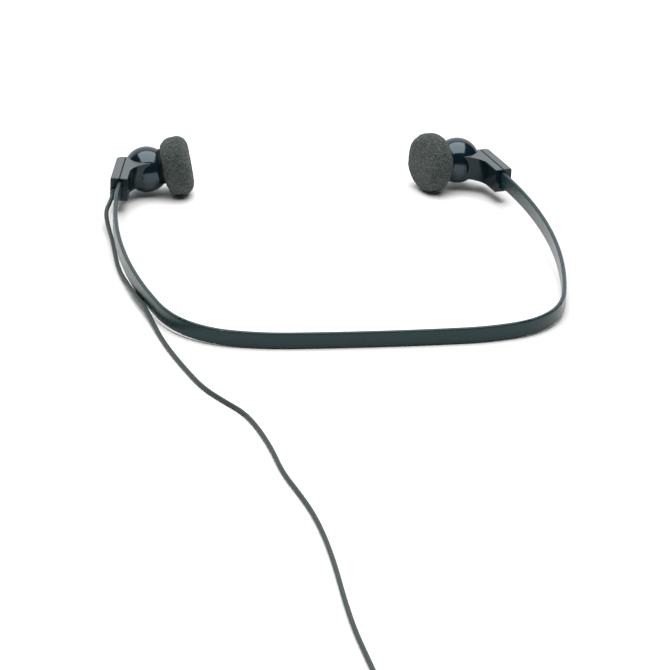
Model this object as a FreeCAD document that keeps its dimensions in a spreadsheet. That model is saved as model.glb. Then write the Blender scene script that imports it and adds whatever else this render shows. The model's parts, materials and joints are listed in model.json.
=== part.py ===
"""Under-chin stereo headphones for a portable radio.

A flat sprung strip, bent to a U that hangs under the chin, carries a clamp block at each end.
Each block holds a round capsule on a short stem, and each capsule carries a small driver under a foam pad.
The capsule turns on a pin in its own seam, and the stem turns in the block, so a pad can find the ear.
One cord leaves the left block and ends in a 3.5 mm stereo plug.

Millimetres. The set lies on a table: +Y runs from the chin bend to the ears, +Z is up, and left (-X) and
right (+X) are those of someone looking at the chin bend.  The origin is on the table below the middle of
the set, with the cord left out.
"""
import FreeCAD
import Part
import Sketcher
import math
import os

Vector = FreeCAD.Vector
Placement = FreeCAD.Placement
Rotation = FreeCAD.Rotation

SIZES = {
    # band strip
    "strip_width": 5.6,
    "strip_thick": 1.5,
    "strip_round": 0.6,
    "core_width": 4.4,
    "core_thick": 0.5,
    "spring_width": 3.4,
    "spring_thick": 0.44,
    "wire_radius": 0.22,
    "bend_a_radius": 629.8,
    "bend_a_turn": 2.6,
    "bend_b_radius": 74.8,
    "bend_b_turn": 14.3,
    "bend_c_radius": 29.8,
    "bend_c_turn": 46.7,
    "bend_d_radius": 44.6,
    "bend_d_turn": 12.7,
    "bend_e_radius": 224.5,
    "bend_e_turn": 27.0,
    "tail_length": 9.0,
    # clamp block
    "block_height": 8.5,
    "block_below": 4.65,
    "block_length": 20.4,
    "block_outer": 3.25,
    "block_inner": 2.95,
    "block_edge": 0.22,
    "anchor_radius": 0.8,
    "anchor_length": 4.6,
    # swivel
    "stem_radius": 1.5,
    "stem_length": 13.4,
    "stem_head_radius": 2.2,
    "stem_head_thick": 1.2,
    "eye_radius": 1.75,
    "eye_thick": 1.8,
    "pin_radius": 0.8,
    "pin_length": 10.0,
    "running_gap": 0.03,
    # capsule
    "ball_radius": 8.2,
    "ball_inner": 7.05,
    "ball_front": 5.2,
    "ball_mouth": 5.9,
    "boss_radius": 2.0,
    "boss_start": 1.0,
    "recess_gap": 0.12,
    # driver
    "collar_radius": 6.3,
    "flange_radius": 7.4,
    "collar_end": 6.2,
    "basket_radius": 5.85,
    "basket_back": 2.3,
    "basket_inner": 5.2,
    "flange_end": 7.2,
    "grille_thick": 0.6,
    "yoke_radius": 4.3,
    "yoke_inner": 3.4,
    "magnet_radius": 2.3,
    # foam pad
    "pad_radius": 10.46,
    "pad_back": 6.3,
    "pad_thick": 9.6,
    "pad_round_back": 2.9,
    "pad_round_front": 3.4,
    "pocket_radius": 7.45,
    "pocket_end": 7.85,
    # cord and plug
    "cord_radius": 0.75,
    "grommet_radius": 1.05,
    "grommet_out": 2.5,
    "grommet_in": 3.0,
    "grip_radius": 3.9,
    "grip_length": 17.0,
    "contact_radius": 1.75,
    "sleeve_length": 7.0,
}

BENDS = ("a", "b", "c", "d", "e")
ORIGIN_BACK = 80.81       # from the outside of the chin bend back to the origin
REST_TILT = 2.73         # the pads hang lower than the strip, so the set lies tipped by this angle
REST_LIFT = 2.84
# Each ear as it has been left turned: where its capsule sits, how far the pad faces toward the chin (toe) and
# up (upturn), in degrees, and how far the pad hangs below the driver's axis.
EARS = {
    -1: {"ball": (-56.6, 153.26, -1.08), "toe": 7.0, "upturn": 12.4, "pad_drop": 0.7},
    1: {"ball": (55.9, 153.26, -0.30), "toe": 19.8, "upturn": 3.9, "pad_drop": -0.2},
}
STEM_HEADING = -45.0
CORD_HOLE = (1.95, -1.2)  # beside the strip in the left block's end face

# Cord from the left block to the coil: seen from above it hugs the strip, then wanders across the table.
CORD_ROUTE = [
    (-71.17, 50.27, 7.89),
    (-72.6, 44.2, 7.6),
    (-75.1, 38.4, 5.84),
    (-75.1, 31.6, 3.2),
    (-74.9, 20.3, 2.2),
    (-75.1, 10.0, 1.1),
    (-75.6, -1.2, 0.8),
    (-75.4, -12.5, 1.2),
    (-74.5, -23.7, 1.9),
    (-73.6, -34.0, 2.6),
    (-71.9, -45.0, 2.8),
    (-70.6, -55.8, 1.4),
    (-69.5, -67.7, 0.8),
    (-67.8, -81.6, 0.8),
    (-64.5, -99.6, 0.8),
    (-61.5, -113.1, 0.8),
    (-56.7, -123.9, 0.8),
    (-51.7, -133.8, 0.8),
    (-49.1, -146.1, 0.8),
    (-47.3, -163.3, 0.8),
    (-46.8, -181.5, 0.8),
    (-44.5, -196.2, 0.8),
    (-42.5, -211.5, 0.8),
    (-41.7, -228.7, 0.8),
    (-42.0, -249.4, 0.8),
    (-43.1, -271.1, 0.8),
    (-43.7, -292.7, 0.8),
    (-43.1, -313.5, 0.8),
    (-41.3, -332.7, 0.8),
    (-39.1, -346.0, 1.2),
    (-37.7, -353.4, 2.0),
]
COIL_CENTRE = (-29.6, -357.4)
COIL_RING = 8.8
COIL_WIDE = 4.45
COIL_HIGH = 3.1
TIE_THICK = 0.4
TAIL_ROUTE = [
    (-24.9, -364.9, 2.0),
    (-19.7, -361.6, 1.6),
    (-13.3, -358.4, 2.0),
    (-6.45, -355.23, 3.92),
    (0.5, -352.7, 3.92),
]
PLUG_HEADING = 20.0

doc = FreeCAD.newDocument("UnderChinHeadphones")
sheet = doc.addObject("Spreadsheet::Sheet", "Dims")
for row, (alias, value) in enumerate(SIZES.items(), start=1):
    sheet.set(f"A{row}", alias)
    sheet.set(f"B{row}", str(value))
    sheet.setAlias(f"B{row}", alias)
doc.recompute()

REST = Placement(Vector(0, -ORIGIN_BACK, REST_LIFT), Rotation(Vector(1, 0, 0), REST_TILT))


def size(coordinate):
    """A number as it stands, or the value of a named size; a leading minus turns a name negative."""
    if not isinstance(coordinate, str):
        return coordinate
    if coordinate.startswith("-"):
        return -SIZES[coordinate[1:]]
    return SIZES[coordinate]


def bind(thing, **properties):
    """Tie properties of a feature to named sizes or formulas of them."""
    for name, formula in properties.items():
        thing.setExpression(name, formula)


def dims(formula_name, factor=1.0, plus=0.0):
    """Formula for one named size, scaled and shifted."""
    return f"Dims.{formula_name} * {factor} + {plus}"


def new_body(label, placement):
    body = doc.addObject("PartDesign::Body", label)
    body.Label = label
    body.Placement = placement
    return body


def origin_feature(body, role):
    return next(f for f in body.Origin.OriginFeatures if f.Role == role)


def new_sketch(body, name, role, offset=0.0):
    sketch = body.newObject("Sketcher::SketchObject", f"{body.Label}_{name}")
    sketch.AttachmentSupport = (origin_feature(body, role), [""])
    sketch.MapMode = "FlatFace"
    sketch.AttachmentOffset = Placement(Vector(0, 0, offset), Rotation())
    return sketch


def place_point(sketch, geometry, end, x, y):
    """Fix one end of a sketch element at two coordinates, each a number or a named size."""
    for kind, axis, coordinate in (("DistanceX", -2, x), ("DistanceY", -1, y)):
        value = size(coordinate)
        if abs(value) < 1e-9:
            sketch.addConstraint(Sketcher.Constraint("PointOnObject", geometry, end, axis))
            continue
        if value > 0:
            index = sketch.addConstraint(Sketcher.Constraint(kind, -1, 1, geometry, end, value))
        else:
            index = sketch.addConstraint(Sketcher.Constraint(kind, geometry, end, -1, 1, -value))
        if isinstance(coordinate, str):
            sketch.setExpression(f"Constraints[{index}]", f"Dims.{coordinate.lstrip('-')}")


def polygon(sketch, corners):
    """Closed outline of straight sides through corners given as numbers or named sizes."""
    points = [Vector(size(x), size(y), 0) for x, y in corners]
    count = len(points)
    first = sketch.GeometryCount
    for i, point in enumerate(points):
        sketch.addGeometry(Part.LineSegment(point, points[(i + 1) % count]), False)
    for i in range(count):
        following = first + (i + 1) % count
        sketch.addConstraint(Sketcher.Constraint("Coincident", first + i, 2, following, 1))
    for i, (x, y) in enumerate(corners):
        place_point(sketch, first + i, 1, x, y)


def turned(body, name, corners, kind="Revolution"):
    """Revolve a closed (radius, height) outline about the body's Z axis."""
    sketch = new_sketch(body, name, "XZ_Plane")
    polygon(sketch, corners)
    doc.recompute()
    feature = body.newObject(f"PartDesign::{kind}", f"{body.Label}_{name}_turn")
    feature.Profile = sketch
    feature.ReferenceAxis = (sketch, ["V_Axis"])
    feature.Angle = 360.0
    doc.recompute()
    return feature


def cutter(body, shape, name, placement, **sizes):
    """Subtract a plain box, cylinder or ball from a body, placed in the body's own frame."""
    tool = body.newObject(f"PartDesign::Subtractive{shape}", f"{body.Label}_{name}")
    tool.MapMode = "Deactivated"
    tool.Placement = placement
    for key, value in sizes.items():
        if isinstance(value, str):
            tool.setExpression(key, value)
        else:
            setattr(tool, key, value)
    doc.recompute()
    return tool


def along(start, direction):
    """Placement whose Z axis runs from a start point along a direction."""
    return Placement(Vector(*start), Rotation(Vector(0, 0, 1), Vector(*direction)))


# ------------------------------------------------------------------ band
def strip_path(body):
    """Half of the U from the chin to the block, five tangent bends and a straight tail."""
    sketch = new_sketch(body, "path", "XY_Plane")
    x, y, heading = 0.0, 0.0, 0.0
    count = 0
    for bend in BENDS:
        radius = SIZES[f"bend_{bend}_radius"]
        turn = math.radians(SIZES[f"bend_{bend}_turn"])
        centre = Vector(x - radius * math.sin(heading), y + radius * math.cos(heading), 0)
        start = heading - math.pi / 2
        circle = Part.Circle(centre, Vector(0, 0, 1), radius)
        sketch.addGeometry(Part.ArcOfCircle(circle, start, start + turn), False)
        radius_index = sketch.addConstraint(Sketcher.Constraint("Radius", count, radius))
        sketch.setExpression(f"Constraints[{radius_index}]", f"Dims.bend_{bend}_radius")
        heading += turn
        x = centre.x + radius * math.sin(heading)
        y = centre.y - radius * math.cos(heading)
        count += 1
    length = SIZES["tail_length"]
    tail_end = Vector(x + length * math.cos(heading), y + length * math.sin(heading), 0)
    sketch.addGeometry(Part.LineSegment(Vector(x, y, 0), tail_end), False)
    sketch.addConstraint(Sketcher.Constraint("Coincident", 0, 1, -1, 1))
    for i in range(count):
        sketch.addConstraint(Sketcher.Constraint("Tangent", i, 2, i + 1, 1))
    tail_index = sketch.addConstraint(Sketcher.Constraint("Distance", count, length))
    sketch.setExpression(f"Constraints[{tail_index}]", "Dims.tail_length")
    doc.recompute()
    return sketch, Vector(x, y, 0), math.degrees(heading)


def rounded_section(sketch, half_thick, half_wide, round_radius, height=0.0):
    """Rectangle with round corners, drawn as four sides and four arcs."""
    t, w, r = half_thick, half_wide, round_radius
    z = height
    corners = [(t - r, w - r, 0), (-t + r, w - r, 90), (-t + r, -w + r, 180), (t - r, -w + r, 270)]
    base = sketch.GeometryCount
    for cx, cy, angle in corners:
        circle = Part.Circle(Vector(cx, cy + z, 0), Vector(0, 0, 1), r)
        sketch.addGeometry(
            Part.ArcOfCircle(circle, math.radians(angle), math.radians(angle + 90)), False)
    ends = []
    for cx, cy, angle in corners:
        a0, a1 = math.radians(angle), math.radians(angle + 90)
        ends.append((Vector(cx + r * math.cos(a0), cy + z + r * math.sin(a0), 0),
                     Vector(cx + r * math.cos(a1), cy + z + r * math.sin(a1), 0)))
    for i in range(4):
        sketch.addGeometry(Part.LineSegment(ends[i][1], ends[(i + 1) % 4][0]), False)
    for i in range(4):
        sketch.addConstraint(Sketcher.Constraint("Coincident", base + i, 2, base + 4 + i, 1))
        sketch.addConstraint(
            Sketcher.Constraint("Coincident", base + 4 + i, 2, base + (i + 1) % 4, 1))
    return base


def sweep_half(body, path, section, name):
    pipe = body.newObject("PartDesign::AdditivePipe", f"{body.Label}_{name}")
    pipe.Profile = section
    pipe.Spine = path
    pipe.Mode = "Standard"
    pipe.Transition = "Transformed"
    doc.recompute()
    mirror = body.newObject("PartDesign::Mirrored", f"{body.Label}_{name}_both")
    mirror.Originals = [pipe]
    mirror.MirrorPlane = (origin_feature(body, "YZ_Plane"), [""])
    body.Tip = mirror
    doc.recompute()
    return mirror


def rectangle(sketch, half_x, half_y, y_centre=0.0):
    """Rectangle about a height, its half sizes bound to named sizes by the caller."""
    base = sketch.GeometryCount
    xs = (half_x, -half_x, -half_x, half_x)
    ys = (y_centre + half_y, y_centre + half_y, y_centre - half_y, y_centre - half_y)
    points = [Vector(x, y, 0) for x, y in zip(xs, ys)]
    for i in range(4):
        sketch.addGeometry(Part.LineSegment(points[i], points[(i + 1) % 4]), False)
    for i in range(4):
        sketch.addConstraint(Sketcher.Constraint("Coincident", base + i, 2, base + (i + 1) % 4, 1))
    for i, kind in enumerate(("Horizontal", "Vertical", "Horizontal", "Vertical")):
        sketch.addConstraint(Sketcher.Constraint(kind, base + i))
    return base


cover = new_body("band_cover", REST)
cover_path, STRIP_END, BLOCK_HEADING = strip_path(cover)
cover_section = new_sketch(cover, "section", "YZ_Plane")
rounded_section(cover_section, SIZES["strip_thick"] / 2, SIZES["strip_width"] / 2, SIZES["strip_round"])
for corner in range(4):
    index = cover_section.addConstraint(Sketcher.Constraint("Radius", corner, SIZES["strip_round"]))
    cover_section.setExpression(f"Constraints[{index}]", "Dims.strip_round")
rectangle(cover_section, SIZES["core_thick"] / 2, SIZES["core_width"] / 2)
sweep_half(cover, cover_path, cover_section, "tube")

spring = new_body("band_spring", REST)
spring_path, _, _ = strip_path(spring)
spring_section = new_sketch(spring, "section", "YZ_Plane")
SPRING_DROP = -(SIZES["core_width"] - SIZES["spring_width"]) / 2 + 0.03
rectangle(spring_section, SIZES["spring_thick"] / 2, SIZES["spring_width"] / 2, SPRING_DROP)
sweep_half(spring, spring_path, spring_section, "blade")

wire = new_body("crossover_wire", REST)
wire_path, _, _ = strip_path(wire)
wire_section = new_sketch(wire, "section", "YZ_Plane")
WIRE_HEIGHT = SIZES["core_width"] / 2 - SIZES["wire_radius"] - 0.04
wire_section.addGeometry(Part.Circle(Vector(0, WIRE_HEIGHT, 0), Vector(0, 0, 1), SIZES["wire_radius"]), False)
place_point(wire_section, 0, 3, 0, WIRE_HEIGHT)
wire_index = wire_section.addConstraint(Sketcher.Constraint("Radius", 0, SIZES["wire_radius"]))
wire_section.setExpression(f"Constraints[{wire_index}]", "Dims.wire_radius")
sweep_half(wire, wire_path, wire_section, "strand")


# ------------------------------------------------------------------ frames of the two ends
def block_frame(side):
    """Frame at the strip's entry: X along the block, Z up, for the left (-1) or right (+1) end."""
    heading = BLOCK_HEADING if side > 0 else 180 - BLOCK_HEADING
    return Placement(Vector(side * STRIP_END.x, STRIP_END.y, 0), Rotation(Vector(0, 0, 1), heading))


def stem_direction(side):
    angle = math.radians(STEM_HEADING)
    return Vector(side * math.cos(angle), math.sin(angle), 0)


def ear_frame(side):
    """Frame at the capsule's centre: Z toward the head, X up along the swivel pin."""
    toe, upturn = math.radians(EARS[side]["toe"]), math.radians(EARS[side]["upturn"])
    facing = Vector(-side * math.cos(toe) * math.cos(upturn), -math.sin(toe) * math.cos(upturn), math.sin(upturn))
    up = facing.cross(stem_direction(side))
    up.multiply(1.0 if up.z > 0 else -1.0)
    up.normalize()
    return Placement(Vector(*EARS[side]["ball"]), Rotation(up, facing.cross(up), facing, "ZXY"))


def in_frame(frame, point):
    return frame.inverse().multVec(point)


for strip_body in (cover, spring):
    for side in (-1, 1):
        frame = block_frame(side)
        start = frame.multVec(Vector(5.0, -3.0, 0))
        direction = frame.Rotation.multVec(Vector(0, 1, 0))
        cutter(strip_body, "Cylinder", f"anchor_hole_{'right' if side > 0 else 'left'}",
               along(start, direction), Radius=dims("anchor_radius", 1.0, 0.02), Height=6.0)


# ------------------------------------------------------------------ clamp blocks
def shell_outline(sketch, side, outer):
    """Plan of one half shell: a plain slab outside, or a slab whose wing sweeps round the capsule inside."""
    m = -side
    if outer:
        rear = SIZES["block_length"]
        wide = SIZES["block_outer"]
        corners = [(0, 0), (rear, 0), (rear, m * (wide - 1.1)), (rear - 1.0, m * wide), (0, m * wide)]
        if m < 0:
            corners.reverse()
        polygon(sketch, corners)
        return
    inner = SIZES["block_inner"]
    rear = SIZES["block_length"]
    wing_root = Vector(8.6, -m * inner, 0)
    wing_mid = Vector(12.7, -m * 5.15, 0)
    wing_tip = Vector(15.55, -m * 9.2, 0)
    sides = [
        Part.LineSegment(Vector(0, 0, 0), Vector(0, -m * inner, 0)),
        Part.LineSegment(Vector(0, -m * inner, 0), wing_root),
        Part.Arc(*([wing_root, wing_mid, wing_tip] if m < 0 else [wing_tip, wing_mid, wing_root])),
        Part.LineSegment(wing_tip, Vector(rear, -m * 4.0, 0)),
        Part.LineSegment(Vector(rear, -m * 4.0, 0), Vector(rear, 0, 0)),
        Part.LineSegment(Vector(rear, 0, 0), Vector(0, 0, 0)),
    ]
    for piece in sides:
        sketch.addGeometry(piece, False)
    low = -1.0 if m > 0 else 1.0
    inner_name = "-block_inner" if low < 0 else "block_inner"
    place_point(sketch, 0, 1, 0, 0)
    place_point(sketch, 1, 1, 0, inner_name)
    place_point(sketch, 1, 2, 8.6, inner_name)
    place_point(sketch, 3, 1, 15.55, low * 9.2)
    place_point(sketch, 3, 2, "block_length", low * 4.0)
    place_point(sketch, 5, 1, "block_length", 0)
    for first, second in ((0, 1), (3, 4), (4, 5)):
        sketch.addConstraint(Sketcher.Constraint("Coincident", first, 2, second, 1))
    sketch.addConstraint(Sketcher.Constraint("Coincident", 5, 2, 0, 1))
    arc = sketch.Geometry[2]
    arc_start_at_root = arc.StartPoint.distanceToPoint(wing_root) < 0.01
    root_end, tip_end = (1, 2) if arc_start_at_root else (2, 1)
    sketch.addConstraint(Sketcher.Constraint("Coincident", 1, 2, 2, root_end))
    sketch.addConstraint(Sketcher.Constraint("Coincident", 3, 1, 2, tip_end))
    sketch.addConstraint(Sketcher.Constraint("Radius", 2, arc.Radius))


def half_shell(side, outer):
    name = "housing_" + ("outer" if outer else "inner") + ("_right" if side > 0 else "_left")
    frame = block_frame(side)
    body = new_body(name, REST.multiply(frame))
    plan = new_sketch(body, "plan", "XY_Plane", -SIZES["block_below"])
    shell_outline(plan, side, outer)
    doc.recompute()
    pad = body.newObject("PartDesign::Pad", f"{name}_pad")
    pad.Profile = plan
    bind(pad, Length="Dims.block_height")
    doc.recompute()
    low, high = -SIZES["block_below"], SIZES["block_height"] - SIZES["block_below"]
    centre = ball_local(frame, side)
    rims = []
    for number, edge in enumerate(pad.Shape.Edges, start=1):
        heights = [vertex.Z for vertex in edge.Vertexes]
        flat = all(abs(z - low) < 1e-6 for z in heights) or all(abs(z - high) < 1e-6 for z in heights)
        inside = min((Vector(v.X, v.Y, 0) - Vector(centre.x, centre.y, 0)).Length
                     for v in edge.Vertexes) < 7.6
        if flat and not inside:
            rims.append(f"Edge{number}")
    chamfer = body.newObject("PartDesign::Chamfer", f"{name}_edges")
    chamfer.Base = (pad, rims)
    bind(chamfer, Size="Dims.block_edge")
    doc.recompute()
    cutter(body, "Sphere", "recess", Placement(centre, Rotation()),
           Radius="Dims.ball_radius + Dims.recess_gap")
    slot_half = SIZES["strip_thick"] / 2 + 0.04
    slot_tall = SIZES["strip_width"] / 2 + 0.04
    cutter(body, "Box", "strip_slot", Placement(Vector(-1.0, -slot_half, -slot_tall), Rotation()),
           Length=dims("tail_length", 1.0, 1.1), Width=2 * slot_half, Height=2 * slot_tall)
    mouth_low = -1.35 if side < 0 else -0.95
    cutter(body, "Box", "slot_mouth", Placement(Vector(-1.0, mouth_low, -3.2), Rotation()),
           Length=1.9, Width=2.3, Height=6.4)
    stem = frame.Rotation.inverted().multVec(stem_direction(side))
    cutter(body, "Cylinder", "stem_bore", along(centre, stem),
           Radius="Dims.stem_radius + Dims.running_gap", Height="Dims.stem_length")
    head_start = SIZES["stem_length"] - SIZES["stem_head_thick"] - 0.05
    cutter(body, "Cylinder", "stem_head_room", along(centre + stem * head_start, stem),
           Radius=dims("stem_head_radius", 1.0, 0.15), Height=dims("stem_head_thick", 1.0, 0.15))
    pin_start = Vector(5.0, -SIZES["anchor_length"] / 2, 0)
    cutter(body, "Cylinder", "anchor_hole", along(pin_start, (0, 1, 0)),
           Radius="Dims.anchor_radius", Height="Dims.anchor_length")
    if outer and side < 0:
        exit_start = Vector(-0.5, CORD_HOLE[0], CORD_HOLE[1])
        cutter(body, "Cylinder", "cord_hole", along(exit_start, (1, 0, 0)),
               Radius="Dims.grommet_radius", Height=dims("grommet_in", 1.0, 0.5))
    return body


def ball_local(frame, side):
    """Centre of the capsule as its block sees it."""
    return in_frame(frame, Vector(*EARS[side]["ball"]))


def primitive(kind, name, placement, **sizes):
    solid = doc.addObject(f"Part::{kind}", name)
    for key, value in sizes.items():
        if isinstance(value, str):
            solid.setExpression(key, value)
        else:
            setattr(solid, key, value)
    solid.Placement = placement
    return solid


def fused(name, pieces, placement):
    joined = doc.addObject("Part::MultiFuse", name)
    joined.Label = name
    joined.Shapes = pieces
    joined.Refine = True
    joined.Placement = placement
    return joined


def removed(name, base, tools, placement=None):
    if len(tools) > 1:
        group = doc.addObject("Part::MultiFuse", f"{name}_tools")
        group.Shapes = tools
        tool = group
    else:
        tool = tools[0]
    result = doc.addObject("Part::Cut", name)
    result.Label = name
    result.Base = base
    result.Tool = tool
    result.Refine = True
    if placement is not None:
        result.Placement = placement
    return result


def anchor_pin(side):
    name = "anchor_pin" + ("_right" if side > 0 else "_left")
    frame = REST.multiply(block_frame(side))
    start = frame.multVec(Vector(5.0, -SIZES["anchor_length"] / 2, 0))
    direction = frame.Rotation.multVec(Vector(0, 1, 0))
    return primitive("Cylinder", name, along(start, direction),
                     Radius="Dims.anchor_radius", Height="Dims.anchor_length")


# ------------------------------------------------------------------ swivel stem
def swivel_stem(side):
    """Eye on the capsule's pin, flat neck, round shank in the block's bore and a head behind the bore."""
    end = "_right" if side > 0 else "_left"
    ear = ear_frame(side)
    stem_in_ear = ear.Rotation.inverted().multVec(stem_direction(side))
    up = Vector(1, 0, 0)
    eye = primitive("Cylinder", "stem_eye" + end, along(up * (-SIZES["eye_thick"] / 2), up),
                    Radius="Dims.eye_radius", Height="Dims.eye_thick")
    flat = Rotation(up, stem_in_ear.cross(up), stem_in_ear, "ZXY")
    neck_width = 2 * SIZES["stem_radius"] - 0.4
    corner = flat.multVec(Vector(-SIZES["eye_thick"] / 2, -neck_width / 2, 0.0))
    neck = primitive("Box", "stem_neck" + end, Placement(corner, flat),
                     Length="Dims.eye_thick", Width=neck_width, Height=3.2)
    shank = primitive("Cylinder", "stem_shank" + end, along(stem_in_ear * 3.0, stem_in_ear),
                      Radius="Dims.stem_radius", Height=dims("stem_length", 1.0, -3.0))
    head = primitive("Cylinder", "stem_head" + end,
                     along(stem_in_ear * (SIZES["stem_length"] - SIZES["stem_head_thick"]), stem_in_ear),
                     Radius="Dims.stem_head_radius", Height="Dims.stem_head_thick")
    solid = fused("stem_solid" + end, [eye, neck, shank, head], Placement())
    hole = primitive("Cylinder", "stem_pin_hole" + end, along(up * -2.0, up),
                     Radius="Dims.pin_radius + Dims.running_gap", Height=4.0)
    wire_way = primitive("Cylinder", "stem_wire_way" + end, along(stem_in_ear * 4.2, stem_in_ear),
                         Radius=0.55, Height="Dims.stem_length")
    wire_port = primitive("Cylinder", "stem_wire_port" + end,
                          along(stem_in_ear * 4.8, stem_in_ear.cross(up)), Radius=0.5, Height=3.0)
    return removed("swivel_stem" + end, solid, [hole, wire_way, wire_port], REST.multiply(ear))


# ------------------------------------------------------------------ capsule
def capsule_half(side, upper):
    """Half of the hollow ball: open front for the driver, slot for the stem, boss for the pin."""
    end = ("_upper" if upper else "_lower") + ("_right" if side > 0 else "_left")
    ear = ear_frame(side)
    stem_in_ear = ear.Rotation.inverted().multVec(stem_direction(side))
    sign = 1 if upper else -1
    up = Vector(1, 0, 0)
    ball = primitive("Sphere", "ball" + end, Placement(), Radius="Dims.ball_radius")
    hollow = primitive("Sphere", "hollow" + end, Placement(), Radius="Dims.ball_inner")
    shell = removed("shell" + end, ball, [hollow])
    boss = primitive("Cylinder", "boss" + end, along(up * (sign * SIZES["boss_start"]), up * sign),
                     Radius="Dims.boss_radius", Height=6.6)
    body = fused("body" + end, [shell, boss], Placement())
    big = 2 * SIZES["ball_radius"] + 2
    other_half = primitive("Box", "other_half" + end,
                           Placement(Vector(-big if upper else 0, -big / 2, -big / 2), Rotation()),
                           Length=big, Width=big, Height=big)
    front = primitive("Box", "front_cut" + end,
                      Placement(Vector(-big / 2, -big / 2, SIZES["ball_front"]), Rotation()),
                      Length=big, Width=big, Height=big)
    mouth = primitive("Cylinder", "mouth" + end, Placement(Vector(0, 0, 2.0), Rotation()),
                      Radius="Dims.ball_mouth", Height=5.0)
    pin_hole = primitive("Cylinder", "pin_hole" + end, along(Vector(0, 0, 0), up * sign),
                         Radius="Dims.pin_radius", Height=dims("pin_length", 0.5, 0.0))
    flat = Rotation(up, stem_in_ear.cross(up), stem_in_ear, "ZXY")
    corner = flat.multVec(Vector(-1.7, -3.9, 3.6))
    slot = primitive("Box", "slot" + end, Placement(corner, flat), Length=3.4, Width=7.8, Height=6.0)
    return removed("capsule" + end, body, [other_half, front, mouth, pin_hole, slot], REST.multiply(ear))


def pivot_pin(side):
    ear = REST.multiply(ear_frame(side))
    up = ear.Rotation.multVec(Vector(1, 0, 0))
    start = ear.multVec(Vector(-SIZES["pin_length"] / 2, 0, 0))
    return primitive("Cylinder", "pivot_pin" + ("_right" if side > 0 else "_left"), along(start, up),
                     Radius="Dims.pin_radius", Height="Dims.pin_length")


# ------------------------------------------------------------------ driver and pad
def driver_parts(side):
    end = "_right" if side > 0 else "_left"
    place = REST.multiply(ear_frame(side))
    collar = new_body("neck_ring" + end, place)
    turned(collar, "ring", [("ball_mouth", "ball_front"), ("collar_radius", "ball_front"),
                            ("collar_radius", "collar_end"), ("ball_mouth", "collar_end")])
    frame = new_body("driver_frame" + end, place)
    turned(frame, "basket", [(0, "basket_back"), ("basket_radius", "basket_back"),
                             ("basket_radius", "collar_end"), ("flange_radius", "collar_end"),
                             ("flange_radius", "flange_end"), (6.6, "flange_end"), (6.6, 6.6),
                             ("basket_inner", 6.6), ("basket_inner", 3.0), (0, 3.0)])
    vent = cutter(frame, "Cylinder", "vent", Placement(Vector(4.75, 0, 0), Rotation()),
                  Radius=0.35, Height=4.0)
    vents = frame.newObject("PartDesign::PolarPattern", f"{frame.Label}_vents")
    vents.Originals = [vent]
    vents.Axis = (origin_feature(frame, "Z_Axis"), [""])
    vents.Angle = 360.0
    vents.Occurrences = 8
    frame.Tip = vents
    doc.recompute()
    yoke = new_body("driver_yoke" + end, place)
    turned(yoke, "cup", [(0, 3.0), ("yoke_radius", 3.0), ("yoke_radius", 5.7), ("yoke_inner", 5.7),
                         ("yoke_inner", 3.6), (0, 3.6)])
    magnet = new_body("driver_magnet" + end, place)
    turned(magnet, "disc", [(0, 3.6), ("magnet_radius", 3.6), ("magnet_radius", 5.2), (0, 5.2)])
    plate = new_body("driver_pole_plate" + end, place)
    turned(plate, "disc", [(0, 5.2), (2.45, 5.2), (2.45, 5.7), (0, 5.7)])
    cone = new_body("driver_diaphragm" + end, place)
    turned(cone, "film", [(0, 6.8), (2.7, 6.35), (2.7, 4.4), (3.0, 4.4), (3.0, 6.35), (4.2, 6.75),
                          (5.3, 6.6), (6.5, 6.6), (6.5, 6.75), (5.3, 6.75), (4.2, 6.9), (2.85, 6.5),
                          (0, 6.95)])
    grille = new_body("driver_grille" + end, place)
    turned(grille, "disc", [(0, "flange_end"), ("flange_radius", "flange_end"), ("flange_radius", 7.8), (0, 7.8)])
    for ring, (radius, holes) in enumerate(((2.2, 6), (4.4, 12))):
        hole = cutter(grille, "Cylinder", f"hole_{ring}", Placement(Vector(radius, 0, 6.5), Rotation()),
                      Radius=0.45, Height=2.0)
        pattern = grille.newObject("PartDesign::PolarPattern", f"{grille.Label}_holes_{ring}")
        pattern.Originals = [hole]
        pattern.Axis = (origin_feature(grille, "Z_Axis"), [""])
        pattern.Angle = 360.0
        pattern.Occurrences = holes
        grille.Tip = pattern
        doc.recompute()
    drop = EARS[side]["pad_drop"]
    pad = new_body("foam_pad" + end, place.multiply(Placement(Vector(-drop, 0, 0), Rotation())))
    front = SIZES["pad_back"] + SIZES["pad_thick"]
    turned(pad, "disc", [(0, "pad_back"), ("pad_radius", "pad_back"), ("pad_radius", front), (0, front)])
    for rim, height in (("back", SIZES["pad_back"]), ("front", front)):
        tip = pad.Tip
        fillet = pad.newObject("PartDesign::Fillet", f"{pad.Label}_{rim}_round")
        fillet.Base = (tip, rim_edges(tip.Shape, SIZES["pad_radius"], height))
        bind(fillet, Radius=f"Dims.pad_round_{rim}")
        doc.recompute()
    cutter(pad, "Cylinder", "pocket", Placement(Vector(drop, 0, 0), Rotation()),
           Radius="Dims.pocket_radius", Height="Dims.pocket_end")
    return [collar, frame, yoke, magnet, plate, cone, grille, pad]


def rim_edges(shape, radius, height):
    """Names of the circular edges of a given radius at a given height."""
    names = []
    for number, edge in enumerate(shape.Edges, start=1):
        if all(abs(math.hypot(v.X, v.Y) - radius) < 1e-4 and abs(v.Z - height) < 1e-4 for v in edge.Vertexes):
            names.append(f"Edge{number}")
    return names


nodes = [cover, spring, wire]
for side in (-1, 1):
    nodes += [half_shell(side, True), half_shell(side, False), anchor_pin(side), swivel_stem(side)]
    nodes += [capsule_half(side, True), capsule_half(side, False), pivot_pin(side)]
    nodes += driver_parts(side)
doc.recompute()


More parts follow.
